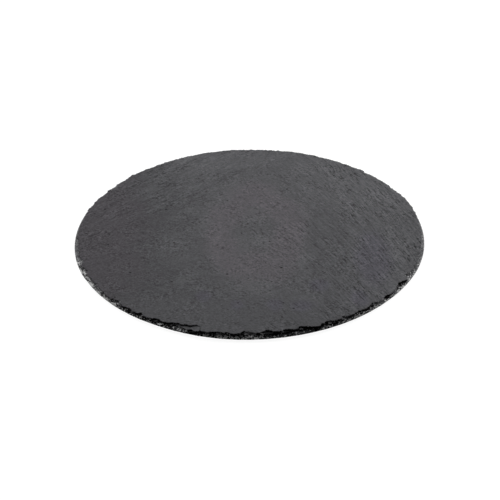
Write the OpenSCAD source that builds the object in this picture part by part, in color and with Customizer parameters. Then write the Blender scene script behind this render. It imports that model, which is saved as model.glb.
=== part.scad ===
// Round slate serving board: one disc of riven slate with a dressed (chipped) edge,
// standing on four self-adhesive rubber feet. Every length is in millimetres.
// The table top is at Z = 0, the middle of the board is the origin, and -Y is the front.

/* [Slate] */
// Diameter over the lip at the bottom of the dressed edge
slate_d = 300; // [200:1:400]
// Thickness between the two riven faces
slate_t = 5; // [3.5:0.1:10]

/* [Dressed edge] */
// Mean width of the chipped bevel in plan, from the top arris out to the lip
dress_w = 3.6; // [2:0.1:8]
// Thickness of the thin lip that is left at the bottom of the bevel
lip_t = 0.8; // [0.4:0.1:1.5]
// Length of rim that one blow of the dressing tool breaks away
blow_w = 13; // [6:0.5:30]
// Mean depth in plan of the scallop that one blow leaves in the top arris
blow_depth = 0.9; // [0.2:0.1:2]
// Width in plan of the ragged break under the lip
under_break = 0.7; // [0.2:0.1:1.5]

/* [Feet] */
// Diameter of each rubber foot and of the adhesive film on it
foot_d = 15; // [8:0.5:25]
// Thickness of the rubber
foot_t = 2; // [1:0.1:6]
// Easing of the rubber's lower edge
foot_edge = 0.3; // [0.1:0.05:0.45]
// Thickness of the double-sided adhesive film
film_t = 0.15; // [0.1:0.05:0.5]
// Distance of each foot's centre in from the rim
foot_inset = 42; // [25:1:60]

/* [Hidden] */
FEET = [["front_left", 225], ["front_right", 315], ["back_right", 45], ["back_left", 135]];

slate_r = slate_d / 2;
underside_z = foot_t + film_t;
foot_circle_r = slate_r - foot_inset;
bevel_h = slate_t - lip_t;
overrun = 1;
// Blows round the rim, and the columns of points that draw them
blows = round(PI * slate_d / blow_w);
sectors = max(360, 5 * blows);
step = 360 / sectors;

// Where the top arris stands round the rim, as [degrees, share of dress_w in from the lip].
// The board was dressed by hand, so it is narrow at the front and wider at the back.
arris_shares = [
    [0, 0.85], [12, 0.87], [20, 0.75], [24, 0.86], [28, 1.25], [32, 1.12], [40, 1.35], [52, 1.3],
    [60, 1.3], [70, 1.05], [82, 1.42], [92, 1.3], [96, 1.05], [102, 1.2], [114, 1.28],
    [122, 1.35], [126, 1.5], [131, 1.3], [136, 0.9], [139, 1.45], [143, 1.3], [148, 1.9],
    [152, 1.5], [156, 1.04], [160, 0.93], [165, 0.85], [170, 1.05], [180, 0.95], [192, 1.1],
    [200, 0.9], [208, 1.05], [214, 0.7], [224, 0.6], [230, 0.65], [238, 0.7], [242, 0.95],
    [246, 1.6], [251, 2.1], [253, 0.5], [256, 0.45], [262, 0.7], [267, 0.75], [269, 1.35],
    [272, 1.2], [275, 1.75], [277, 0.95], [284, 0.8], [288, 0.95], [291, 0.4], [293, 0.85],
    [300, 0.8], [308, 0.5], [311, 1.05], [314, 0.5], [322, 0.45], [326, 1.1], [329, 0.55],
    [332, 1], [338, 0.7], [348, 0.9], [360, 0.85]
];

// The bevel breaks down through three beds of the slate. For each bed: the shares of the bevel's
// height at which its broken face starts and ends, and how far it stands back at least, as a
// share of dress_w.
bed_top_shares = [0, 0.36, 0.7];
bed_foot_shares = [0.3, 0.62, 1];
bed_back_shares = [1, 0.84, 0.6];
last_bed = len(bed_top_shares) - 1;
// Outward lean of a broken face, as a share of its height
lean_share = 0.22;
// Narrowest ledge between one bed and the next, as a share of dress_w
ledge_share = 0.04;

// Blows as shares: how far one may start from its even place, of blow_w, its least and its
// greatest depth, of blow_depth, and how much of that depth shows in the top arris
start_share = 0.7;
small_blow_share = 0.4;
big_blow_share = 1.6;
arris_blow_share = 0.35;

// A repeatable number from 0 to 1 for a whole number and a salt
function scatter(n, salt) =
    let (s = sin(n * 127.1 + salt * 311.7) * 43758.5453)
    s - floor(s);

// Where blow number n starts along the rim, counted in blows
function blow_start(n, salt) =
    n + start_share * (scatter((n + blows) % blows, salt) - 0.5);

// Which blow made the rim at p, counted in blows from the +X axis
function blow_at(p, salt) =
    let (n = floor(p))
    p < blow_start(n, salt) ? n - 1 : p >= blow_start(n + 1, salt) ? n + 1 : n;

// Depth of the scallop at an angle: a shallow hollow between two sharp cusps
function scallop(angle, salt) =
    let (
        p = angle / 360 * blows,
        n = blow_at(p, salt),
        from = blow_start(n, salt),
        to = blow_start(n + 1, salt),
        f = (p - from) / (to - from),
        luck = scatter((n + blows) % blows, salt + 5),
        size = small_blow_share + (big_blow_share - small_blow_share) * luck
    )
    blow_depth * size * 4 * f * (1 - f);

// How far in from the lip the hand-dressed arris stands at an angle
function arris_inset(angle, i = 0) =
    arris_shares[i + 1][0] < angle
        ? arris_inset(angle, i + 1)
        : let (
            a = arris_shares[i],
            b = arris_shares[i + 1]
        )
        dress_w * (a[1] + (b[1] - a[1]) * (angle - a[0]) / (b[0] - a[0]));

// How far in from the lip a bed's broken edge stands at an angle. A bed never stands out past
// the one under it.
function bed_inset(bed, angle) =
    let (
        hollow = scallop(angle, 1 + bed) - blow_depth,
        own = bed == 0
            ? arris_inset(angle) + arris_blow_share * hollow
            : (min(dress_w, arris_inset(angle)) + hollow) * bed_back_shares[bed],
        under = bed == last_bed ? ledge_share * dress_w : bed_inset(bed + 1, angle)
    )
    max(own, under + ledge_share * dress_w + bed_fall(bed) * lean_share);

// Height of a bed's broken face
function bed_fall(bed) = bevel_h * (bed_foot_shares[bed] - bed_top_shares[bed]);

// One column of points down the rim at an angle: radius and height, from above the top face
// to below the underside
function rim_column(angle) =
    let (
        insets = [for (bed = [0 : last_bed]) bed_inset(bed, angle)],
        under = under_break * (0.5 + scallop(angle, 7) / blow_depth / 2)
    )
    concat(
        [[slate_r - insets[0] - overrun * lean_share, slate_t + overrun]],
        [[slate_r - insets[0] + bed_fall(0) * lean_share, slate_t - bevel_h * bed_foot_shares[0]]],
        [[slate_r - insets[1], slate_t - bevel_h * bed_top_shares[1]]],
        [[slate_r - insets[1] + bed_fall(1) * lean_share, slate_t - bevel_h * bed_foot_shares[1]]],
        [[slate_r - insets[2], slate_t - bevel_h * bed_top_shares[2]]],
        [[slate_r, lip_t]],
        [[slate_r - under * (1 + overrun / lip_t), -overrun]]
    );

// The chipped rim as one closed body that stands past both riven faces
module rough_blank() {
    columns = [for (i = [0 : sectors - 1]) rim_column(i * step)];
    rings = len(columns[0]);
    rim = [
        for (j = [0 : rings - 1], i = [0 : sectors - 1])
            [columns[i][j][0] * cos(i * step), columns[i][j][0] * sin(i * step), columns[i][j][1]]
    ];
    top = len(rim);
    points = concat(rim, [[0, 0, slate_t + overrun], [0, 0, -overrun]]);
    sides = [
        for (j = [0 : rings - 2], i = [0 : sectors - 1])
            let (
                n = (i + 1) % sectors,
                a = j * sectors + i,
                b = j * sectors + n,
                c = a + sectors,
                d = b + sectors
            )
            each [[a, b, d], [a, d, c]]
    ];
    caps = [
        for (i = [0 : sectors - 1])
            let (n = (i + 1) % sectors, last = (rings - 1) * sectors)
            each [[top, n, i], [top + 1, last + i, last + n]]
    ];
    polyhedron(points = points, faces = concat(sides, caps));
}

// The slate disc, split flat between its two riven faces
module slate_disc() {
    color("#525154")
    translate([0, 0, underside_z])
    intersection() {
        rough_blank();
        cylinder(d = slate_d + 2 * overrun, h = slate_t, $fn = 180);
    }
}

// One rubber foot, with its die-cut lower edge eased
module foot(angle) {
    color("#1f1f21")
    rotate([0, 0, angle])
    translate([foot_circle_r, 0, 0])
    rotate_extrude($fn = 96)
    polygon([
        [0, 0],
        [foot_d / 2 - foot_edge, 0],
        [foot_d / 2, foot_edge],
        [foot_d / 2, foot_t],
        [0, foot_t]
    ]);
}

// The double-sided film that holds a foot to the underside
module film(angle) {
    color("#c9c6bd")
    rotate([0, 0, angle])
    translate([foot_circle_r, 0, foot_t])
    cylinder(d = foot_d, h = film_t, $fn = 96);
}

slate_disc();
for (place = FEET) {
    foot(place[1]);
    film(place[1]);
}
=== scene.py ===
"""The looks of a round slate serving board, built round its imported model.

Sizes are in millimetres until a mesh is made, when MM turns them to metres.
"""
import math

import bpy
import numpy as np
from mathutils import Matrix, Vector


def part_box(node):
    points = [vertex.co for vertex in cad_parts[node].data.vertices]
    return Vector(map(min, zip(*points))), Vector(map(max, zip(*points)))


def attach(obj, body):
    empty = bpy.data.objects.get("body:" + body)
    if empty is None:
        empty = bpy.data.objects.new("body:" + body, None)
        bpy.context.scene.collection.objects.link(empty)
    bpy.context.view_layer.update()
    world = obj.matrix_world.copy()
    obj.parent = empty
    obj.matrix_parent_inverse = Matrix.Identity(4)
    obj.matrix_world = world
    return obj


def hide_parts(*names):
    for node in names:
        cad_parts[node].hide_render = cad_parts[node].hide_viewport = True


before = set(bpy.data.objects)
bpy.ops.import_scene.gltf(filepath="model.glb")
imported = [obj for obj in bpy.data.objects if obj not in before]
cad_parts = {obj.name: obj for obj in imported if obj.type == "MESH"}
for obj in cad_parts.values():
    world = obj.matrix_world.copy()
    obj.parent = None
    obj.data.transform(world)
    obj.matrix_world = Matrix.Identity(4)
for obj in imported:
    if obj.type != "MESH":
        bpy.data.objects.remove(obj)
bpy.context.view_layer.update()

MM = 0.001

# The slate
# The board is one piece of natural slate, split flat along its grain and cut to a disc. Its edge
# was dressed by hand from above with a row of blows, which broke it back bed by bed: steep under
# the top arris and flatter lower down, with a thin round lip left at the bottom.
slate_low, slate_high = (np.array(corner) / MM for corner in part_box("slate_disc"))
SLATE_R = (slate_high[0] - slate_low[0]) / 2
UNDER_Z = slate_low[2]
TOP_Z = slate_high[2]
# Mean width of the dressed edge, thickness of its lip, length and mean depth of what one blow
# broke away, and width of the ragged break under the lip
DRESS_W = 3.6
LIP_T = 0.8
BLOW_W = 13
BLOW_DEPTH = 0.9
UNDER_BREAK = 0.7
BEVEL_H = TOP_Z - UNDER_Z - LIP_T
BLOWS = round(math.pi * 2 * SLATE_R / BLOW_W)

# Where the top arris stands, as degrees and shares of DRESS_W in from the lip. The edge is
# narrow at the front and wider at the back.
ARRIS_SHARES = np.array([
    (0, 0.8), (8, 0.75), (12, 0.6), (20, 0.45), (24, 0.6), (28, 1.1), (32, 0.9), (40, 1.15),
    (44, 0.9), (48, 1.2), (52, 1.3), (60, 1.3), (70, 1.05), (82, 1.42), (92, 1.3), (96, 1.05),
    (102, 1.2), (114, 1.28), (122, 1.35), (126, 1.5), (131, 1.3), (136, 0.9), (139, 1.45),
    (143, 1.3), (148, 1.9), (152, 1.5), (156, 1.04), (160, 0.93), (165, 0.85), (170, 1.05),
    (180, 0.95), (192, 1.1), (200, 0.9), (208, 1.05), (214, 0.7), (224, 0.6), (230, 0.65),
    (238, 0.7), (242, 1.05), (245.6, 1.35), (246.2, 1), (250, 0.8), (254, 0.5), (256, 0.45),
    (262, 0.7), (266, 0.75), (268, 1.3), (274, 1.05), (274.6, 1.9), (277, 1.4), (280.6, 0.85),
    (281.2, 1.4), (284.5, 0.75), (285.1, 1.15), (288, 0.95), (291.4, 0.4), (292.2, 0.95),
    (300, 0.8), (308, 0.5), (311, 1.05), (314, 0.5), (322, 0.45), (326, 1.1), (329, 0.55),
    (332, 1), (338, 0.7), (348, 0.9), (360, 0.85),
])
# Where the lip itself was broken in from the round, as degrees and mm
LIP_CHIPS = np.array([
    (0, 0), (176, 0), (202, 0), (206, 0.5), (216, 0.6), (232, 0.85), (240, 1.1), (246, 0.8),
    (254, 0.3), (260, 0), (272, 0), (284, 0.2), (296, 0.3), (304, 0.5), (312, 0.65), (322, 0.65),
    (330, 0.35), (338, 0), (360, 0),
])

# The three beds that the bevel breaks down through: where each one's broken face starts and
# ends, as shares of the bevel's height, and how far it stands back, as a share of DRESS_W
BED_TOP_SHARES = (0, 0.36, 0.7)
BED_FOOT_SHARES = (0.3, 0.62, 1)
BED_BACK_SHARES = (1, 0.84, 0.6)
BED_FALLS = BEVEL_H * (np.array(BED_FOOT_SHARES) - BED_TOP_SHARES)
LAST_BED = len(BED_FALLS) - 1
# Outward lean of a broken face, as a share of its height, and the narrowest ledge between one
# bed and the next, as a share of DRESS_W
LEAN_SHARE = 0.22
LEDGE_SHARE = 0.04
# How far a blow may start from its even place, its least and greatest depth, the mean depth of
# the hollow that it leaves, and how much of that hollow shows in the top arris
START_SHARE = 0.7
SMALL_BLOW_SHARE, BIG_BLOW_SHARE = 0.4, 1.6
MEAN_BLOW_SHARE = 2 / 3
ARRIS_BLOW_SHARE = 0.35


def scatter(n, salt):
    """A repeatable number from 0 to 1 for each whole number: the fraction of a large sine."""
    s = np.sin(np.radians(n * 127.1 + salt * 311.7)) * 43758.5453
    return s - np.floor(s)


def scallops(angle, count, salt, skew=1):
    """Hollows of count blows round the rim: a parabola 4f(1-f) between each two cusps, whose
    deepest place comes early where f is taken as 1-(1-f)^skew."""
    def start(n):
        return n + START_SHARE * (scatter(n % count, salt) - 0.5)
    p = angle / 360 * count
    n = np.floor(p)
    n = np.where(p < start(n), n - 1, np.where(p >= start(n + 1), n + 1, n))
    f = 1 - (1 - (p - start(n)) / (start(n + 1) - start(n))) ** skew
    luck = scatter(n % count, salt + 5)
    return (SMALL_BLOW_SHARE + (BIG_BLOW_SHARE - SMALL_BLOW_SHARE) * luck) * 4 * f * (1 - f)


def hollows(angle, sizes, salt):
    """Scallops of several counts and depths added up, proud at cusps and cut back between."""
    return sum(depth * (scallops(angle, count, salt + number) - MEAN_BLOW_SHARE)
               for number, (count, depth) in enumerate(sizes))


def bed_insets(angle):
    """How far in from the lip each bed's broken edge stands: the arris table plus scallops,
    and never less than the bed under it."""
    arris = DRESS_W * np.interp(angle, *ARRIS_SHARES.T)
    ledge = LEDGE_SHARE * DRESS_W
    inset = ledge
    insets = []
    for bed in range(LAST_BED, -1, -1):
        hollow = BLOW_DEPTH * (scallops(angle, BLOWS, 1 + bed) - 1)
        own = (np.minimum(DRESS_W, arris) + hollow) * BED_BACK_SHARES[bed]
        if bed == 0:
            own = arris + ARRIS_BLOW_SHARE * hollow
        inset = np.maximum(own, inset + ledge + BED_FALLS[bed] * LEAN_SHARE)
        insets.insert(0, inset)
    return insets


# Squares along one side of the grid that makes the top face. The rim has two columns of points
# for each square along the grid's four sides.
GRID = 208
COLUMNS = 8 * GRID
column_angles = np.arange(COLUMNS) * 360 / COLUMNS


def ring_noise(angle, count, seed):
    """Smooth random heights from -1 to 1 round the rim, with count knots and no seam."""
    knots = np.random.default_rng(seed).uniform(-1, 1, count)
    p = angle / 360 * count
    n = np.floor(p).astype(int)
    f = p - n
    ease = f * f * (3 - 2 * f)
    return knots[n % count] * (1 - ease) + knots[(n + 1) % count] * ease


# Lattice points each way before the noise comes round again
LATTICE = 256


def lattice_noise(u, v, seed):
    """Gradient noise, about -0.7 to 0.7: a random slope at each whole (u, v), eased between."""
    turns = np.random.default_rng(seed).uniform(0, 2 * math.pi, (LATTICE, LATTICE))
    i, j = np.floor(u).astype(int), np.floor(v).astype(int)
    fu, fv = u - i, v - j

    def slope(di, dj):
        turn = turns[(i + di) % LATTICE, (j + dj) % LATTICE]
        return np.cos(turn) * (fu - di) + np.sin(turn) * (fv - dj)
    eu, ev = (f ** 3 * (f * (f * 6 - 15) + 10) for f in (fu, fv))
    near = slope(0, 0) * (1 - eu) + slope(1, 0) * eu
    far = slope(0, 1) * (1 - eu) + slope(1, 1) * eu
    return near * (1 - ev) + far * ev


# When the block was split, the crack left fine ripples in its faces. They fan out from flat on
# the left to steep on the right, where they are strongest. Behind on the left others cross them.
# Widths (W) and heights (H) are in mm, and each ripple is a width, a length and a height.
SWELL_W, SWELL_H = 62, 0.16
RIPPLES = ((16, 75, 0.14), (7.5, 34, 0.09))
GRAIN_W, GRAIN_H = 5, 0.04
TOP_SEED, UNDER_SEED = 3, 31
# A ripple runs where x * (1 + x / RIPPLE_BEND) + RIPPLE_TURN * y stays the same. It is faint up
# to FAINT_X, and at its full height from STRONG_X.
RIPPLE_TURN, RIPPLE_BEND = 0.84, 194
FAINT_X, STRONG_X, FAINT_SHARE = -20, 110, 0.3
# The others cross where y - CROSS_TURN * x is above CROSS_FROM, most from CROSS_TO
CROSS_TURN, CROSS_FROM, CROSS_TO, CROSS_SHARE = 0.8, 75, 110, 0.9


def riven(x, y, seed):
    """Height of a riven face: slow swells, the fan of ripples, those that cross it, and grain."""
    fan = x * (1 + x / RIPPLE_BEND) + RIPPLE_TURN * y, y - RIPPLE_TURN * x
    strong = FAINT_SHARE + (1 - FAINT_SHARE) * np.clip((x - FAINT_X) / (STRONG_X - FAINT_X), 0, 1)
    corner = y - CROSS_TURN * x
    crossed = CROSS_SHARE * np.clip((corner - CROSS_FROM) / (CROSS_TO - CROSS_FROM), 0, 1)
    z = SWELL_H * lattice_noise(x / SWELL_W, y / SWELL_W, seed)
    for number, (width, length, height) in enumerate(RIPPLES, 1):
        along = lattice_noise(fan[0] / width, fan[1] / length, seed + number)
        across = lattice_noise((y - x) / width, (x + y) / length, seed + 4 + number)
        z += height * (along * strong * (1 - crossed) + across * crossed)
    return z + GRAIN_H * lattice_noise(x / GRAIN_W, y / GRAIN_W, seed + 9)


# A film of adhesive sticks each foot to the underside, where the slate is flat. From there, over
# SEAT_EASE, it takes up UNDER_SHARE of a riven face's relief, hollowed by UNDER_RISE at most.
FILMS = [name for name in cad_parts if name.startswith("film_")]
FEET = [name.replace("film_", "foot_") for name in FILMS]
seats = np.array([sum(np.array(corner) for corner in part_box(name)) / 2 / MM for name in FILMS])
film_low, film_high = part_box(FILMS[0])
FILM_R = (film_high[0] - film_low[0]) / 2 / MM
SEAT_EASE = 6
UNDER_SHARE = 0.8
UNDER_RISE = 0.15


def under_relief(x, y):
    """How far the underside is hollowed: its riven height, faded to nothing at the seats of
    the films and at the rim."""
    keep = np.clip((SLATE_R - np.hypot(x, y)) / SEAT_EASE, 0, 1)
    for seat in seats:
        keep = keep * np.clip((np.hypot(x - seat[0], y - seat[1]) - FILM_R) / SEAT_EASE, 0, 1)
    return np.minimum(UNDER_SHARE * riven(x, -y, UNDER_SEED) * keep, UNDER_RISE)


# Each bed is a stack of three leaves that break nearly in line. The beds break apart, so that
# slivers of them overlap like shingles. Sizes are how many hollows go round, and their depth.
LEAVES = 9
LEAVES_IN_BED = 3
BED_HOLLOWS = (
    ((105, 0.75), (220, 0.5)),
    ((60, 0.9), (150, 1.1)),
    ((75, 0.6), (170, 0.7)),
)
LEAF_HOLLOWS = ((300, 0.3), (560, 0.2))
ARRIS_HOLLOWS = ((420, 0.7), (760, 0.5))
# How far down a leaf its inset is taken, and how far its edge wanders up and down, both in
# leaves, how many times it does so round the rim, and the roughness of its facets in mm
LEAF_LEVEL = 0.25
LEAF_WANDER, WANDERS = 0.16, 31
FACET_JITTER = 0.05
# At the front the blows also split slivers off the top bed, each deepest at its end nearer the
# middle of the front, and left hollows under the two upper beds
SLIVERS, SLIVER_DEPTH, SLIVER_SKEW = 58, 1.5, 4
FRONT, SLIVER_REACH, SLIVER_LEAST = 262, 75, 0.42
UNDERCUTS, UNDERCUT_DEPTH, UNDERCUT_SHARPNESS = 84, 0.8, 1.5
# On the left of the front a long flake came off the top bed and bared the one under it. It
# reaches in behind the arris, as degrees and mm, and thins out over its last degrees.
FLAKE = np.array([(245.8, 0), (246.6, 1.8), (250, 3.9), (253, 5.4), (254.4, 6.1)])
FLAKE_THINS = 3.4
BARED_RING = 2 * LEAVES_IN_BED
# How far down the lip its top edge is rounded, and how far behind it the leaves stay, in mm
LIP_ROUND = 0.25
CLEAR = 0.03
# The break under the lip: its least share, the small nicks round it, and where it turns under,
# as a share of its width and of the lip's thickness
UNDER_LEAST = 0.4
UNDER_NICKS = 380
TURN_SHARE = 0.3


def in_flake(angle):
    """Whether each angle is one where the flake came off."""
    return (angle > FLAKE[0, 0]) & (angle <= FLAKE[-1, 0])


def leaf_faces(angle):
    """How far in from the lip each leaf stands, on straight lines down the faces of the beds."""
    knots = [share for pair in zip(BED_TOP_SHARES, BED_FOOT_SHARES) for share in pair]
    backs = []
    for bed, inset in enumerate(bed_insets(angle)):
        backs += [inset, 0 * inset if bed == LAST_BED else inset - BED_FALLS[bed] * LEAN_SHARE]
    faces = []
    for share in (np.arange(LEAVES) + LEAF_LEVEL) / LEAVES:
        k = np.searchsorted(knots, share) - 1
        t = (share - knots[k]) / (knots[k + 1] - knots[k])
        faces.append(backs[k] * (1 - t) + backs[k + 1] * t)
    return faces


def leaf_profile(angle):
    """Radius and height of every ring down the rim, as arrays of rings by columns. Each leaf
    has a top ring and a foot ring, set in from the lip by its bed's inset plus its hollows.
    Where the flake came off, the top bed stands further in and thins out."""
    chips = np.interp(angle, *LIP_CHIPS.T)
    nearness = np.clip(2 - np.abs(angle - FRONT) / SLIVER_REACH, SLIVER_LEAST, 1)
    slivers = np.where(angle > FRONT, scallops(angle, SLIVERS, 71, SLIVER_SKEW),
                       scallops(360 - angle, SLIVERS, 73, SLIVER_SKEW)) - MEAN_BLOW_SHARE
    slivers *= SLIVER_DEPTH * nearness
    thinned = np.clip((FLAKE[-1, 0] - angle) / FLAKE_THINS, 0, 1)
    thinned = np.where(in_flake(angle), thinned, 1)
    jitter = np.random.default_rng(11)
    radii, heights = [], []
    for leaf, face in enumerate(leaf_faces(angle)):
        bed = leaf // LEAVES_IN_BED
        own = hollows(angle, BED_HOLLOWS[bed], 20 + 2 * bed)
        own += hollows(angle, LEAF_HOLLOWS if leaf else ARRIS_HOLLOWS, 40 + 2 * leaf)
        own *= min(1, LEAVES_IN_BED * (1 - leaf / LEAVES))
        if bed == 0:
            own = own * nearness + slivers + np.interp(angle, *FLAKE.T, right=0)
        cut = 0.5 + UNDERCUT_SHARPNESS * ring_noise(angle, UNDERCUTS, 80 + bed)
        undercut = UNDERCUT_DEPTH * np.clip(cut, 0, 1)
        for edge in (0, 1):
            n = leaf + edge
            wander = LEAF_WANDER * ring_noise(angle, WANDERS, 60 + n) if 0 < n < LEAVES else 0
            lean = edge * LEAN_SHARE * BEVEL_H / LEAVES
            hollow = undercut * (n - bed * LEAVES_IN_BED) / LEAVES_IN_BED * (bed < LAST_BED)
            inset = face + own + hollow - lean + jitter.normal(0, FACET_JITTER, len(angle))
            radii.append(SLATE_R - np.maximum(inset, chips + CLEAR))
            down = (n + wander) * (thinned if len(heights) <= BARED_RING else 1)
            heights.append(TOP_Z - BEVEL_H * down / LEAVES + 0 * angle)
    nicks = scallops(angle, BLOWS, 7) / 2, scallops(angle, UNDER_NICKS, 9) / 4
    torn = UNDER_BREAK * (UNDER_LEAST + nicks[0] + nicks[1])
    radii += [SLATE_R - chips, SLATE_R - chips - torn * TURN_SHARE, SLATE_R - chips - torn]
    heights += [UNDER_Z + z + 0 * angle for z in (LIP_T - LIP_ROUND, LIP_T * TURN_SHARE, 0)]
    return np.array(radii), np.array(heights)


def square_to_disc(n):
    """A grid of n by n squares pressed into the unit disc, each square ring to a circle."""
    side = np.linspace(-1, 1, n + 1)
    a, b = np.meshgrid(side, side)
    wide = np.abs(a) > np.abs(b)
    reach = np.where(wide, a, b)
    ratio = np.divide(np.where(wide, b, a), np.where(reach == 0, 1, reach))
    turn = np.where(wide, math.pi / 4 * ratio, math.pi / 2 - math.pi / 4 * ratio)
    return (reach * np.cos(turn)).ravel(), (reach * np.sin(turn)).ravel()


def grid_quads(n):
    """The quads of an n by n grid of squares, counter-clockwise seen from +Z."""
    corner = (np.arange(n)[:, None] * (n + 1) + np.arange(n)).ravel()
    return np.stack([corner, corner + 1, corner + n + 2, corner + n + 1], 1)


def grid_rim(n):
    """The grid's outer points in order of their angle, from 0 degrees round."""
    x, y = square_to_disc(n)
    outer = np.flatnonzero(np.hypot(x, y) > 1 - 1e-9)
    turn = np.degrees(np.arctan2(y[outer], x[outer]))
    return outer[np.argsort(np.round(turn / 360 * 4 * n).astype(int) % (4 * n))]


def strip_quads(upper, lower):
    """Quads between two rings of as many points, facing out when upper is above lower."""
    return np.stack([upper, lower, np.roll(lower, -1), np.roll(upper, -1)], 1)


def halving_triangles(fine, coarse):
    """Triangles that join a ring to one of half as many points inside it, facing +Z."""
    left, mid, right = fine[::2], fine[1::2], np.roll(fine, -2)[::2]
    inner, after = coarse, np.roll(coarse, -1)
    return np.concatenate([
        np.stack([inner, left, mid], 1),
        np.stack([inner, mid, after], 1),
        np.stack([after, mid, right], 1),
    ])


# A face's grid stops this far inside the broken edge, and only its outer rings follow the edge
# in and out: by the edge's own way times a power of how far out they are
STEP_IN = 0.75
EDGE_BLEND_POWER = 8


def slate_mesh():
    """The whole stone as one closed mesh: two riven faces pressed from square grids, joined by
    the rings of the broken edge. Returns its points, its faces in five sets, and the rings."""
    radii, heights = leaf_profile(column_angles)
    turn = np.radians(column_angles)
    parts = []

    def lay(x, y, z):
        """Adds points and returns the number of the first."""
        parts.append(np.stack([part.ravel() for part in (x, y, z)], 1))
        return sum(len(part) for part in parts[:-1])

    # The top face, whose grid ends a step inside the arris
    odd = radii[0][1::2]
    inner = np.minimum(radii[0][::2], np.minimum(odd, np.roll(odd, 1))) - STEP_IN
    x, y = square_to_disc(GRID)
    turns = np.degrees(np.arctan2(y, x)) % 360
    own = np.interp(turns, np.r_[column_angles[::2], 360], np.r_[inner, inner[0]])
    reach = inner.mean() + (own - inner.mean()) * np.hypot(x, y) ** EDGE_BLEND_POWER
    lay(x * reach, y * reach, TOP_Z + riven(x * reach, y * reach, TOP_SEED))
    top_faces = grid_quads(GRID)

    # The rings of the edge, which take up the relief of the top the more, the higher they are
    ring_x, ring_y = radii * np.cos(turn), radii * np.sin(turn)
    rise = np.clip((heights - UNDER_Z) / (TOP_Z - UNDER_Z), 0, 1)
    first = lay(ring_x, ring_y, heights + rise * riven(ring_x[:1], ring_y[:1], TOP_SEED))
    ring = first + np.arange(radii.size).reshape(radii.shape)
    edge_faces = np.concatenate([strip_quads(a, b) for a, b in zip(ring, ring[1:])])
    top_join = halving_triangles(ring[0], grid_rim(GRID))

    # The underside, on a grid half as fine, with one ring between the two
    mid_r = radii[-1][::2] - STEP_IN
    mid_x, mid_y = mid_r * np.cos(turn[::2]), mid_r * np.sin(turn[::2])
    mid = lay(mid_x, mid_y, UNDER_Z - under_relief(mid_x, mid_y)) + np.arange(len(mid_r))
    x, y = np.array(square_to_disc(GRID // 2)) * (mid_r.min() - 2 * STEP_IN)
    first = lay(x, y, UNDER_Z - under_relief(x, y))
    low_faces = first + grid_quads(GRID // 2)[:, ::-1]
    low_rim = first + grid_rim(GRID // 2)
    low_join = np.concatenate([halving_triangles(ring[-1], mid), halving_triangles(mid, low_rim)])
    sets = [top_faces, top_join, edge_faces, low_join[:, ::-1], low_faces]
    return np.concatenate(parts), sets, ring


def make_piece(name, body, points, face_sets, smooth):
    """A mesh object from points in mm and face sets, each set smooth or flat shaded, which
    rides on a body."""
    mesh = bpy.data.meshes.new(name)
    faces = [face for group in face_sets for face in group.tolist()]
    mesh.from_pydata((points * MM).tolist(), [], faces)
    counts = [len(group) for group in face_sets]
    mesh.polygons.foreach_set("use_smooth", np.repeat(smooth, counts))
    piece = bpy.data.objects.new(name, mesh)
    bpy.context.scene.collection.objects.link(piece)
    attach(piece, body)
    return piece


# Only the facets of the edge are flat shaded
slate_points, slate_faces, slate_rings = slate_mesh()
slate = make_piece("slate", "root", slate_points, slate_faces, [True, True, False, True, True])
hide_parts("slate_disc")

# The two faces are riven and the edge is broken, apart from the bed that the flake bared
RIVEN, BROKEN = 0, 1
face_counts = [len(faces) for faces in slate_faces]
materials = np.repeat([RIVEN, RIVEN, BROKEN, RIVEN, RIVEN], face_counts)
bared_strip = sum(face_counts[:2]) + (BARED_RING - 1) * COLUMNS
materials[bared_strip + np.flatnonzero(in_flake(column_angles))] = RIVEN
slate.data.polygons.foreach_set("material_index", materials.astype(np.int32))

# How the broken edge looks round the rim: degrees, how far wear and painted light grey its dark
# cliffs, most at the sides and back and not at the front, how much of it is pale powder, partly
# crushed and partly painted glints, and how many leaves deep the painted shade of its clefts goes
EDGE_LOOKS = np.array([
    (0, 0.95, 0.14, 0), (30, 0.95, 0.1, 0), (60, 0.6, 0.1, 0), (160, 0.6, 0.1, 0),
    (176, 0.75, 0.1, 0), (193.5, 0.75, 0.14, 0), (198, 0.7, 0.38, 0), (204, 0.7, 0.46, 0),
    (212, 0.6, 0.38, 0.5), (219, 0.4, 0.34, 1.8), (226, 0.1, 0.33, 2.6), (240, 0, 0.28, 3.6),
    (245.5, 0, 0.2, 4.2), (247, 0.45, 0.2, 3.4), (249.5, 0.4, 0.14, 3.5), (251, 0, 0.06, 5),
    (254.2, 0, 0.08, 5), (254.8, 0, 0.24, 3.8), (264, 0, 0.3, 3.8), (272, 0, 0.27, 3.8),
    (280, 0, 0.07, 3.8), (287, 0, 0.07, 3.8), (294, 0, 0.11, 3.8), (305, 0.2, 0.27, 3.4),
    (316, 0.25, 0.31, 4.4), (322, 0.3, 0.29, 4.6), (330, 0.5, 0.27, 4.2), (336, 0.8, 0.22, 2.6),
    (341, 0.95, 0.17, 0), (350, 0.95, 0.14, 0), (360, 0.95, 0.14, 0),
])
# Patches break up each look: their strength, how many go round, their slant in degrees from the
# top of the bevel to its foot, and their seed
WORN_AND_LIT_PATCHES = (0.5, 80, 8, 62)
POWDER_AND_GLINT_PATCHES = (0.6, 260, 6, 61)
CLEFT_SHADE_PATCHES = (0.7, 100, 0, 63)
# Powder and painted glints lie low on the bevel. High up there is the least share of them, and
# they grow below the first share of the height, over the second.
CRUSHED_FROM, CRUSHED_OVER, CRUSHED_LEAST = 0.42, 0.25, 0.3
# Between the clefts' painted shade are gaps greyed as painted light, wherever noise round the
# rim is above a level. The level is lowest on the right, as degrees and heights of the noise.
GAP_LEVELS = np.array([(306, 0.7), (320, -0.05), (338, -0.05), (346, 0.7)])
GAPS, GAP_SHARPNESS, GAP_GREY = 170, 5, 0.5
# The foot of a cleft's painted shade is ragged: blobs round the rim, their slant, and how many
# leaves they reach
BLOBS, BLOB_SLANT, BLOB_LEAVES = 280, -7, 3
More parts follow.
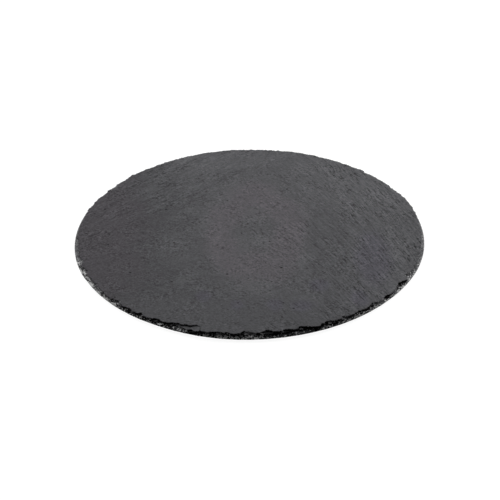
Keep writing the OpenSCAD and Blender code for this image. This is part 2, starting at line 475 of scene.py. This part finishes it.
# On the left a thin seam of painted shade runs between the lower leaves: degrees and strength,
# how many leaves down it is, how far it wanders and reaches, and how often it wanders round the rim
SEAM_SHARES = np.array([(190, 0), (197, 1), (209, 1), (216, 0)])
SEAM_DOWN, SEAM_WANDER, SEAM_REACH, SEAM_WANDERS = 6.3, 2, 1.4, 90
# It breaks off wherever other noise round the rim is below a level
SEAM_BREAKS, BREAK_LEVEL, BREAK_SHARPNESS = 130, -0.5, 4
# The painted shade on the low wall that the flake left fades out over these last degrees
FLAKE_SHADE_FADES = 1.2


def patches(down, strength, count, slant, seed):
    """Factors about 1 round the rim, in patches that slant as they run down."""
    return 1 + strength * ring_noise(column_angles + slant * down, count, seed)


def edge_looks(heights):
    """How far wear and painted light grey each point of the edge, how much pale powder and painted
    glint it has, and how deep the painted shade of its clefts is: each look of the table times its
    patches. A cleft's shade ends where the leaves go deeper than it does."""
    degrees, *table = EDGE_LOOKS.T
    worn_and_lit, powder_and_glints, cleft_shade = (np.interp(column_angles, degrees, row) for row in table)
    down = (TOP_Z - heights) / BEVEL_H
    leaves_down = np.arange(len(heights))[:, None] / 2
    low_down = np.clip((down - CRUSHED_FROM) / CRUSHED_OVER, CRUSHED_LEAST, 1)

    level = np.interp(column_angles, *GAP_LEVELS.T)
    whole = np.clip(GAP_SHARPNESS * (level - ring_noise(column_angles, GAPS, 64)), 0, 1)
    deep = cleft_shade * patches(down, *CLEFT_SHADE_PATCHES) * whole
    ragged = BLOB_LEAVES * ring_noise(column_angles + BLOB_SLANT * down, BLOBS, 66)
    cleft_shades = np.clip(deep - leaves_down + ragged * np.clip(deep, 0, 1), 0, 1)

    seam_at = SEAM_DOWN + SEAM_WANDER * ring_noise(column_angles, SEAM_WANDERS, 68)
    unbroken = BREAK_SHARPNESS * (ring_noise(column_angles, SEAM_BREAKS, 69) - BREAK_LEVEL)
    seam_share = np.interp(column_angles, *SEAM_SHARES.T) * np.clip(unbroken, 0, 1)
    seam_shade = np.clip(SEAM_REACH - np.abs(leaves_down - seam_at), 0, 1) * seam_share
    looks = {
        "worn_and_lit": np.clip(worn_and_lit * patches(down, *WORN_AND_LIT_PATCHES) + GAP_GREY * (1 - whole), 0, 1),
        "powder_and_glints": powder_and_glints * low_down * patches(down, *POWDER_AND_GLINT_PATCHES),
        "cleft_shade": np.maximum(cleft_shades, seam_shade),
    }
    # The low wall that the flake left gets painted shade, fading at its end, and no grey or powder
    bared = in_flake(column_angles)
    dark = np.clip((FLAKE[-1, 0] - column_angles[bared]) / FLAKE_SHADE_FADES, 0, 1)
    for look, amount in (("worn_and_lit", 0), ("powder_and_glints", 0), ("cleft_shade", dark)):
        looks[look][:BARED_RING, bared] = amount
    return looks


for look, amounts in edge_looks(slate_points[slate_rings, 2]).items():
    values = np.zeros(len(slate_points), np.float32)
    values[slate_rings] = amounts
    slate.data.attributes.new(look, "FLOAT", "POINT").data.foreach_set("value", values)


def paint(code):
    """An sRGB hex colour as linear red, green, blue and alpha."""
    parts = [int(code[i:i + 2], 16) / 255 for i in (1, 3, 5)]
    return (*[p / 12.92 if p <= 0.04045 else ((p + 0.055) / 1.055) ** 2.4 for p in parts], 1)


def add(tree, kind, inputs=(), out=0, **settings):
    """Adds one shader node with its settings, sets or links its inputs, and gives one output."""
    node = tree.nodes.new("ShaderNode" + kind)
    for name, value in settings.items():
        setattr(node, name, value)
    for socket, value in inputs.items() if isinstance(inputs, dict) else enumerate(inputs):
        if isinstance(value, bpy.types.NodeSocket):
            tree.links.new(value, node.inputs[socket])
        else:
            node.inputs[socket].default_value = value
    return node.outputs[out]


# Settings that many nodes share. A MapRange node takes a value and a run, whose first two
# numbers become 0 and 1, or else the two numbers after them. A Mix node takes its share at
# socket 0 and its two colours at 6 and 7.
SMOOTH = {"interpolation_type": "SMOOTHSTEP"}
COLOUR_MIX = {"out": 2, "data_type": "RGBA"}


def new_material(name, roughness, specular):
    """A node material with its even roughness and specular level, its tree and its shader."""
    material = bpy.data.materials.new(name)
    material.use_nodes = True
    shader = material.node_tree.nodes["Principled BSDF"]
    shader.inputs["Roughness"].default_value = roughness
    shader.inputs["Specular IOR Level"].default_value = specular
    return material, material.node_tree, shader.inputs


def spots(tree, at, size, detail=2.0):
    """Noise about zero, with spots of a size in mm along each axis of its coordinates."""
    size = size if isinstance(size, tuple) else (size,) * 3
    scaled = add(tree, "VectorMath", (at, [1 / (part * MM) for part in size]), operation="MULTIPLY")
    noise = add(tree, "TexNoise", {"Vector": scaled, "Scale": 1.0, "Detail": detail})
    return add(tree, "Math", (noise, 0.5), operation="SUBTRACT")


def weighed(tree, start, *terms):
    """A number or output plus each value times its weight."""
    for value, weight in terms:
        start = add(tree, "Math", (value, weight, start), operation="MULTIPLY_ADD")
    return start


# Faint mineral colour, with painted light and shade: the middle and half sizes of each patch in
# mm, whether it is a ring, and its colour. The left, the front and a band on the right are
# darker, and the back right is paler, partly the stone's colour and partly painted shade and
# painted light as from lamps behind on the right. The far left is partly a purplish brown, a
# broad pink ring is in the middle, and small patches on the right and at the front are bluish.
SLATE_GREYS = "#3f3f41", "#464648"
TINTS_AND_SHADING = (
    ((-150, -20), (112, 190), False, "#373739"),
    ((125, 85), (75, 60), False, "#474749"),
    ((0, -150), (190, 58), False, "#3c3c3e"),
    ((65, -30), (20, 70), False, "#3e3e40"),
    ((-57, -20), (26, 32), False, "#3e3e40"),
    ((-150, -5), (66, 140), False, "#373538"),
    ((6, 1), (31, 58), True, "#464447"),
    ((104, -47), (15, 41), False, "#414045"),
    ((56, -82), (8, 9), False, "#403f44"),
    ((88, -102), (7, 12), False, "#403f44"),
    ((-38, -95), (6, 8), False, "#3d3c41"),
    ((-11, -109), (5, 7), False, "#3d3c41"),
    ((20, -110), (7, 9), False, "#3d3c41"),
    ((41, -111), (10, 9), False, "#3d3c41"),
)
# A patch fades out by its distance from its middle, in half sizes, and a ring by its distance
# from its line. Noise of this many mm frays both.
PATCH_RUN, RING_RUN = (1.3, 0.6), (0.6, 0.2)
FRAY_W, STAIN_FRAY = 20, 0.9
# Sizes in mm of the mottling between the two greys, and of the spots in which the streaks and
# the grain are fainter or stronger
MOTTLE_W, MOTTLE_RUN = 45, (-0.2, 0.2)
SPOT_W, SPOT_RUN = 14, (-0.15, 0.15, 0.58, 1.38)
# The ripples leave streaks, each this wide and long in mm: broad bands, coarse and fine ones,
# and scarps where a leaf of slate tore off. They run as the ripples of the mesh do, and bend in
# places this wide, by up to about half of FAN_BEND or CROSS_BEND.
BANDS, COARSE, FINE, SCARP = (15, 66), (5.2, 22), (2.6, 10), (3.6, 15)
BEND_W, FAN_BEND, CROSS_BEND = 18, 12, 7
FAN_RUN = (FAINT_X * MM, STRONG_X * MM, FAINT_SHARE, 1.15)
CROSS_RUN = (CROSS_FROM * MM, CROSS_TO * MM, 0.0, CROSS_SHARE)
SCARP_RUN = (0.11, 0.16)
# The scarps also show in a torn patch in the middle of the top, by the distance from its middle
TORN_Y, TORN_RUN = 6, (30 * MM, 14 * MM, 0.0, 0.9)
# Slate's grains are under 0.1 mm and too fine to show here, so they are drawn this wide in mm.
# They are roughest on the left, and a little rougher on the right than in the middle.
GRAIN, FINE_GRAIN = 2.6, 1.3
ROUGH_LEFT_RUN = (-90 * MM, 0, 1.15, 0.85)
ROUGH_RIGHT_RUN = (20 * MM, 110 * MM, 0.0, 0.25)
# Grains that fell out left pits about 2 mm wide, in about a fifth of the cells of this many mm
PIT_CELL, CHOSEN_RUN, PIT_RUN = 9, (0.65, 0.9), (0.17, 0.06)
# What each mark adds to the even tone, and to the height in mm: the bands, the coarse and fine
# streaks and the scarps, then the two grains, then the pits. The darker tone of the scarps and
# the pits is painted shade.
EVEN_TONE = 0.99
LINE_TONES, LINE_HEIGHTS = (0.7, 0.75, 0.95, -0.3), (0.7, 0.9, 0.5, -0.12)
GRAIN_TONES, GRAIN_HEIGHTS = (0.9, 1.25), (0.25, 0.22)
PIT_SHADE_TONE, PIT_HEIGHT = -0.9, -0.4


def riven_slate():
    """Natural slate as split, which shows as matt dark grey with faint mineral colour and patches
    of painted light and shade. Its ripples catch the light in fine streaks, and small pits are left
    where grains fell out. The scarps and the pits are painted darker as shade."""
    material, tree, surface = new_material("riven_slate", roughness=0.7, specular=0.1)
    place = add(tree, "TexCoord", out="Object")
    x, y = add(tree, "SeparateXYZ", [place]).node.outputs[:2]

    # Coordinates across and along the fan of ripples and those that cross it, as in the mesh
    bend = spots(tree, place, BEND_W, detail=3.0)
    spread = weighed(tree, 1.0, (x, 1 / (RIPPLE_BEND * MM)))
    across = weighed(tree, 0.0, (x, spread), (y, RIPPLE_TURN), (bend, FAN_BEND * MM))
    fan = add(tree, "CombineXYZ", (across, weighed(tree, y, (x, -RIPPLE_TURN))))
    slope = weighed(tree, y, (x, -1.0), (bend, CROSS_BEND * MM))
    cross = add(tree, "CombineXYZ", (slope, weighed(tree, y, (x, 1.0))))

    # The streaks and scarps, and how strong each kind is from place to place
    strong = add(tree, "MapRange", (x, *FAN_RUN), **SMOOTH)
    corner = weighed(tree, y, (x, -CROSS_TURN))
    crossed = add(tree, "MapRange", (corner, *CROSS_RUN), **SMOOTH)
    strong = weighed(tree, strong, (crossed, -FAINT_SHARE))

    def streaks(width, length):
        main = spots(tree, fan, (width, length, 1))
        main = add(tree, "Math", (main, strong), operation="MULTIPLY")
        return weighed(tree, main, (spots(tree, cross, (width, length, 1)), crossed))

    bands, coarse, fine = streaks(*BANDS), streaks(*COARSE), streaks(*FINE)
    scarps = spots(tree, fan, (*SCARP, 1), detail=1.0)
    scarps = add(tree, "MapRange", (scarps, *SCARP_RUN), **SMOOTH)
    from_torn = add(tree, "VectorMath", (place, (0, TORN_Y * MM, 0)), operation="SUBTRACT")
    from_torn = add(tree, "VectorMath", [from_torn], out="Value", operation="LENGTH")
    torn = add(tree, "MapRange", (from_torn, *TORN_RUN), **SMOOTH)
    scarps = add(tree, "Math", (scarps, add(tree, "Math", (strong, torn))), operation="MULTIPLY")
    lines = (bands, coarse, fine, scarps)

    # The grains and pits
    grains = spots(tree, place, GRAIN), spots(tree, place, FINE_GRAIN)
    rough = add(tree, "MapRange", (x, *ROUGH_LEFT_RUN), **SMOOTH)
    rough = add(tree, "Math", (rough, add(tree, "MapRange", (x, *ROUGH_RIGHT_RUN), **SMOOTH)))
    cells = {"Vector": place, "Scale": 1 / (PIT_CELL * MM)}
    pits = add(tree, "TexVoronoi", cells, out="Color").node.outputs
    luck = add(tree, "SeparateColor", [pits["Color"]])
    chosen = add(tree, "MapRange", (luck, *CHOSEN_RUN), **SMOOTH)
    pit = add(tree, "MapRange", (pits["Distance"], *PIT_RUN), **SMOOTH)
    pit = add(tree, "Math", (pit, chosen), operation="MULTIPLY")

    # The mineral colour, with its patches of painted light and shade
    mottle = spots(tree, place, MOTTLE_W, detail=3.0)
    mottle = add(tree, "MapRange", (mottle, *MOTTLE_RUN), **SMOOTH)
    dark, pale = SLATE_GREYS
    colour = add(tree, "Mix", {0: mottle, 6: paint(dark), 7: paint(pale)}, **COLOUR_MIX)
    fray = spots(tree, place, FRAY_W, detail=4.0)
    for (mid_x, mid_y), (half_x, half_y), is_ring, code in TINTS_AND_SHADING:
        moved = add(tree, "VectorMath", (place, (mid_x * MM, mid_y * MM, 0)), operation="SUBTRACT")
        halves = (1 / (half_x * MM), 1 / (half_y * MM), 0)
        moved = add(tree, "VectorMath", (moved, halves), operation="MULTIPLY")
        away = add(tree, "VectorMath", [moved], out="Value", operation="LENGTH")
        away = weighed(tree, away, (fray, STAIN_FRAY))
        if is_ring:
            away = add(tree, "Math", [weighed(tree, away, (-1.0, 1.0))], operation="ABSOLUTE")
        tint_and_shade = add(tree, "MapRange", (away, *(RING_RUN if is_ring else PATCH_RUN)), **SMOOTH)
        colour = add(tree, "Mix", {0: tint_and_shade, 6: colour, 7: paint(code)}, **COLOUR_MIX)

    # The tone and the bump that the marks add up to
    spot = add(tree, "MapRange", (spots(tree, place, SPOT_W), *SPOT_RUN), **SMOOTH)

    def in_spots(marks, weights):
        added = weighed(tree, 0.0, *zip(marks, weights))
        return add(tree, "Math", (added, spot), operation="MULTIPLY")

    streaked, speckled = in_spots(lines, LINE_TONES), in_spots(grains, GRAIN_TONES)
    tone = weighed(tree, EVEN_TONE, (streaked, 1.0), (speckled, rough), (pit, PIT_SHADE_TONE))
    tinted = add(tree, "VectorMath", {0: colour, "Scale": tone}, operation="SCALE")
    tree.links.new(tinted, surface["Base Color"])
    height = in_spots(lines, LINE_HEIGHTS)
    height = weighed(tree, height, *zip(grains, GRAIN_HEIGHTS), (pit, PIT_HEIGHT))
    bump = add(tree, "Bump", {"Height": height, "Distance": MM, "Strength": 1.0})
    tree.links.new(bump, surface["Normal"])
    return material


# The break crumbles into grains of about half a mm, which are drawn this wide in mm to show
CRUMB, CRUMB_CONTRAST, POWDER_CONTRAST = 1.4, 1.6, 1.5
# Painted shade darkens crevices that run along the leaves, long and low as this in mm along
# each axis, and darkens the clefts, both down to this share of their colour.
CREVICE_SHADE, PAINTED_SHADE_LEVEL = (8, 8, 1.5), 0.12
CREVICE_SHADE_RUN, CLEFT_SHADE_RUN = (-0.05, 0.06, 1.0, PAINTED_SHADE_LEVEL), (0.55, 0.95, 1.0, PAINTED_SHADE_LEVEL)
# A facet takes the ledge greys by how far up it looks, so steep ones keep the cliff greys as
# partly painted shade, and powder and painted glints show as specks by how much there is
LEDGE_RUN = (0.3, 0.8)
SPECK_RUN, POWDER_RUN = (0.24, 0.36), (0.0, 0.05)
# Two greys of each kind of break, and the pale of crushed powder, which also paints glints. The
# cliff greys are partly painted shade. Wear and painted light grey the cliffs towards the worn
# greys, and grey the leaves by half.
SHADED_CLIFF_GREYS = "#161617", "#38383a"
WORN_AND_LIT_GREYS = "#5e5e60", "#909092"
LEAF_GREYS = "#343436", "#545456"
POWDER_AND_GLINT_PALE = "#bababa"


def broken_slate():
    """Slate broken across its leaves. The rough cliffs are darker than the leaves, partly as
    painted shade on the steep facets, while the leaves' small ledges keep the grey of the faces.
    Crushed edges are pale specks, which on the sides also paint glints."""
    material, tree, surface = new_material("broken_slate", roughness=0.6, specular=0.01)
    place = add(tree, "TexCoord", out="Object")
    worn_and_lit, powder_and_glint_share, cleft_shade = (
        add(tree, "Attribute", out="Fac", attribute_name=look)
        for look in ("worn_and_lit", "powder_and_glints", "cleft_shade")
    )

    # Cliffs and the ledges of the leaves, both crumbly and greyed by wear and painted light. The
    # more upward a facet looks, the more it takes the leaf greys, so steep ones get painted shade
    crumbs = weighed(tree, 0.5, (spots(tree, place, CRUMB, detail=3.0), CRUMB_CONTRAST))
    shaded_cliff, worn_and_lit_colour, leaf = (
        add(tree, "Mix", {0: crumbs, 6: paint(dark), 7: paint(pale)}, **COLOUR_MIX)
        for dark, pale in (SHADED_CLIFF_GREYS, WORN_AND_LIT_GREYS, LEAF_GREYS)
    )
    shaded_cliff = add(tree, "Mix", {0: worn_and_lit, 6: shaded_cliff, 7: worn_and_lit_colour}, **COLOUR_MIX)
    half_worn_and_lit = add(tree, "Math", (worn_and_lit, 0.5), operation="MULTIPLY")
    leaf = add(tree, "Mix", {0: half_worn_and_lit, 6: leaf, 7: worn_and_lit_colour}, **COLOUR_MIX)
    upward = add(tree, "SeparateXYZ", [add(tree, "NewGeometry", out="True Normal")], out="Z")
    ledge = add(tree, "MapRange", (upward, *LEDGE_RUN), **SMOOTH)
    stone = add(tree, "Mix", {0: ledge, 6: shaded_cliff, 7: leaf}, **COLOUR_MIX)

    # Painted shade in crevices, except where wear and painted light grey the stone, pale specks of
    # powder and painted glints, and over both the painted shade of the clefts
    crevice_shade = add(tree, "MapRange", (spots(tree, place, CREVICE_SHADE), *CREVICE_SHADE_RUN), **SMOOTH)
    crevice_shade = add(tree, "Math", (crevice_shade, worn_and_lit), operation="MAXIMUM")
    stone = add(tree, "VectorMath", {0: stone, "Scale": crevice_shade}, operation="SCALE")
    # The pale specks are crushed powder, and on the sides also painted glints
    speck = weighed(tree, powder_and_glint_share, (spots(tree, place, CRUMB, detail=1.0), POWDER_CONTRAST))
    speck = add(tree, "MapRange", (speck, *SPECK_RUN), **SMOOTH)
    present = add(tree, "MapRange", (powder_and_glint_share, *POWDER_RUN), **SMOOTH)
    speck = add(tree, "Math", (speck, present), operation="MULTIPLY")
    stone = add(tree, "Mix", {0: speck, 6: stone, 7: paint(POWDER_AND_GLINT_PALE)}, **COLOUR_MIX)
    # Painted shade in the clefts
    shade = add(tree, "MapRange", (cleft_shade, *CLEFT_SHADE_RUN), **SMOOTH)
    stone = add(tree, "VectorMath", {0: stone, "Scale": shade}, operation="SCALE")
    tree.links.new(stone, surface["Base Color"])
    return material


slate.data.materials.append(riven_slate())
slate.data.materials.append(broken_slate())

# The feet
# Each foot is a disc die-cut from solid black rubber sheet, so the cutter drew its wall in a
# little, and its sole keeps the fine pebble of the sheet. It is stuck to the slate by its film.
foot_low, foot_high = (np.array(corner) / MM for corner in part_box(FEET[0]))
FOOT_R = (foot_high[0] - foot_low[0]) / 2
FOOT_T = foot_high[2] - foot_low[2]
FOOT_EDGE = 0.3
FOOT_WAIST = 0.12
FOOT_SIDES = 96
EDGE_STEPS, WALL_STEPS, SOLE_STEPS = 5, 9, 12


def foot_profile():
    """Radius and height from the middle of the sole out, up the wall and in over the top: a
    flat sole, a quarter round edge, and a wall drawn in by a sine."""
    turn = np.linspace(0, math.pi / 2, EDGE_STEPS)
    edge = FOOT_R - FOOT_EDGE * (1 - np.sin(turn)), FOOT_EDGE * (1 - np.cos(turn))
    up = np.linspace(0, 1, WALL_STEPS)[1:]
    wall = FOOT_R - FOOT_WAIST * np.sin(math.pi * up), FOOT_EDGE + (FOOT_T - FOOT_EDGE) * up
    out = np.linspace(0, 1, SOLE_STEPS)[1:-1] * (FOOT_R - FOOT_EDGE)
    radius = np.concatenate([out, edge[0], wall[0], out[::-1]])
    height = np.concatenate([0 * out, edge[1], wall[1], 0 * out + FOOT_T])
    return radius, height


def turned(radius, height, middle, sides):
    """A profile turned about an upright axis, x = r cos t and y = r sin t, and closed by a fan
    of triangles at each end of the axis. Returns points and face sets."""
    turn = np.arange(sides) * 2 * math.pi / sides
    x, y = radius[:, None] * np.cos(turn), radius[:, None] * np.sin(turn)
    rings = np.stack([x, y, height[:, None] + 0 * x], 2).reshape(-1, 3)
    poles = [(0, 0, height[0]), (0, 0, height[-1])]
    number = np.arange(radius.size * sides).reshape(-1, sides)
    walls = np.concatenate([strip_quads(upper, lower) for lower, upper in zip(number, number[1:])])
    low, high = number[0], number[-1]
    sole = np.stack([np.roll(low, -1), low, 0 * low + number.size], 1)
    top = np.stack([high, np.roll(high, -1), 0 * high + number.size + 1], 1)
    return np.concatenate([rings, poles]) + middle, [walls, sole, top]


# The sheet's pebble is half a mm wide, and its black has faint clouds of a few mm
PEBBLE, PEBBLE_STRENGTH = 0.5, 0.25
CLOUD, CLOUD_CONTRAST = 2.5, 1.5
RUBBER_BLACKS = "#19191a", "#262627"


def die_cut_rubber():
    """Solid neoprene sheet, black and matt, with the fine pebble that its press leaves."""
    material, tree, surface = new_material("die_cut_rubber", roughness=0.8, specular=0.3)
    place = add(tree, "TexCoord", out="Object")
    clouds = weighed(tree, 0.5, (spots(tree, place, CLOUD, detail=3.0), CLOUD_CONTRAST))
    dark, pale = RUBBER_BLACKS
    colour = add(tree, "Mix", {0: clouds, 6: paint(dark), 7: paint(pale)}, **COLOUR_MIX)
    tree.links.new(colour, surface["Base Color"])
    bump = {"Height": spots(tree, place, PEBBLE), "Distance": MM, "Strength": PEBBLE_STRENGTH}
    tree.links.new(add(tree, "Bump", bump), surface["Normal"])
    return material


rubber = die_cut_rubber()
for name, seat in zip(FEET, seats):
    points, faces = turned(*foot_profile(), (seat[0], seat[1], foot_low[2]), FOOT_SIDES)
    foot = make_piece("rubber_" + name, "root", points, faces, [True, True, True])
    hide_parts(name)
    foot.data.materials.append(rubber)

# The adhesive films
# Each film is a double-sided acrylic tape, die-cut with its foot and pressed between the rubber
# and the slate. Only its pale edge shows, so the CAD solid stays and gets the tape's material.

# The cutter drew streaks along the cut edge, as wide, long and high as this in mm
STREAK, STREAK_CONTRAST = (6, 6, 0.08), 1.5
TAPE_WHITES = "#b9b5aa", "#d3cfc5"


def acrylic_tape():
    """Clear acrylic glue on a thin carrier, milky white at its cut edge, with faint streaks."""
    material, tree, surface = new_material("acrylic_tape", roughness=0.35, specular=0.4)
    place = add(tree, "TexCoord", out="Object")
    streaks = weighed(tree, 0.5, (spots(tree, place, STREAK), STREAK_CONTRAST))
    dark, pale = TAPE_WHITES
    colour = add(tree, "Mix", {0: streaks, 6: paint(dark), 7: paint(pale)}, **COLOUR_MIX)
    tree.links.new(colour, surface["Base Color"])
    return material


tape = acrylic_tape()
for name in FILMS:
    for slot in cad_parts[name].material_slots:
        slot.material = tape

# The floor
# A sheet of pale paper just under the soles. The camera, and gloss and glass, see it lit up to
# white, and the board's shadow dims only its own grey.
FLOOR_HALF = 3000
FLOOR_Z = -0.02
FLOOR_GLOW = 0.93
PAPER_GREY = "#606060"
WHITE = "#ffffff"
corners = [(x * FLOOR_HALF, y * FLOOR_HALF, FLOOR_Z)
           for x, y in ((-1, -1), (1, -1), (1, 1), (-1, 1))]
floor_mesh = bpy.data.meshes.new("floor")
floor_mesh.from_pydata((np.array(corners) * MM).tolist(), [], [(0, 1, 2, 3)])
floor = bpy.data.objects.new("floor", floor_mesh)
bpy.context.scene.collection.objects.link(floor)


def seen_directly(tree):
    """1 where the camera, a gloss or a glass looks, and 0 for light falling on the object."""
    rays = add(tree, "LightPath").node.outputs
    seen = add(tree, "Math", (rays["Is Camera Ray"], rays["Is Glossy Ray"]), operation="MAXIMUM")
    return add(tree, "Math", (seen, rays["Is Transmission Ray"]), operation="MAXIMUM")


paper, tree, surface = new_material("white_paper", roughness=0.9, specular=0.2)
surface["Base Color"].default_value = paint(PAPER_GREY)
surface["Emission Color"].default_value = paint(WHITE)
tree.links.new(weighed(tree, 0.0, (seen_directly(tree), FLOOR_GLOW)), surface["Emission Strength"])
floor.data.materials.append(paper)

# The light
# Two soft boxes behind on either side and one overhead leave the front of the rim in shade.
# Each has a name, a place and a width in metres, and its watts.
SOFT_BOXES = (
    ("right", (1.15, 0.42, 0.75), 0.9, 18),
    ("left", (-1.15, 0.42, 0.6), 0.9, 15),
    ("overhead", (0, 0.6, 1.4), 1.3, 15),
)
for name, place, width, watts in SOFT_BOXES:
    light = bpy.data.lights.new(name, "AREA")
    light.size = width
    light.energy = watts
    lamp = bpy.data.objects.new(name, light)
    bpy.context.scene.collection.objects.link(lamp)
    lamp.location = place
    lamp.rotation_euler = (-lamp.location).to_track_quat("-Z", "Y").to_euler()

AMBIENT = 0.05
world = bpy.data.worlds.new("studio")
bpy.context.scene.world = world
world.use_nodes = True
sky = world.node_tree.nodes["Background"].inputs
sky["Color"].default_value = paint(WHITE)
level = weighed(world.node_tree, AMBIENT, (seen_directly(world.node_tree), 1 - AMBIENT))
world.node_tree.links.new(level, sky["Strength"])

# The camera
# It stands in front and above, aimed just in front of the middle, where the photo's outline of
# the board puts it.
CAMERA_RISE = math.radians(32.851)
CAMERA_ROLL = math.radians(-0.893)
CAMERA_AWAY = 1300
CAMERA_LENS = 109.7
AIM = Vector((0.4, -17.2, 0))
back = Vector((0, -math.cos(CAMERA_RISE), math.sin(CAMERA_RISE)))
across, upward = Vector((1, 0, 0)), Vector((0, math.sin(CAMERA_RISE), math.cos(CAMERA_RISE)))
right = across * math.cos(CAMERA_ROLL) + upward * math.sin(CAMERA_ROLL)
up = upward * math.cos(CAMERA_ROLL) - across * math.sin(CAMERA_ROLL)
camera_data = bpy.data.cameras.new("camera")
camera_data.lens = CAMERA_LENS
camera = bpy.data.objects.new("camera", camera_data)
bpy.context.scene.collection.objects.link(camera)
axes = Matrix((right, up, back)).transposed().to_4x4()
camera.matrix_world = Matrix.Translation((AIM + back * CAMERA_AWAY) * MM) @ axes
bpy.context.scene.camera = camera
bpy.context.scene.view_settings.view_transform = "Standard"
